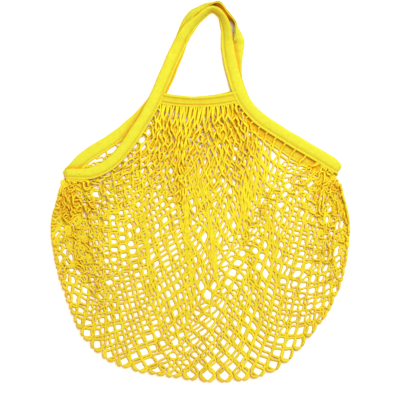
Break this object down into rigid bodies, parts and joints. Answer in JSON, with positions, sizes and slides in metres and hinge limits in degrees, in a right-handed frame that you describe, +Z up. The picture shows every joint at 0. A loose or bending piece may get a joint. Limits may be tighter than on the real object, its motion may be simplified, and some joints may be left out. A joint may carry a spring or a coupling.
{
  "type": "mesh shopping bag",
  "caption": "Empty cotton net shopping bag with short handles, lying flat: a knitted net pouch bound by one loop of tape, with a gathered band on each side of the mouth.",
  "frame": {"origin": "centre of the bag's box, on the surface that it lies on", "axes": "+Z up out of the front wall, +Y from the bottom of the pouch to the handles, +X to the right seen from above"},
  "size_m": [0.385, 0.487, 0.0172],
  "materials": {
    "net_cord": "matte knitted cotton cord",
    "binding_tape": "matte woven cotton tape"
  },
  "bodies": {
    "root": {"net": "net_cord", "handle_tape": "binding_tape", "front_mouth_band": "binding_tape", "back_mouth_band": "binding_tape"}
  },
  "joints": []
}
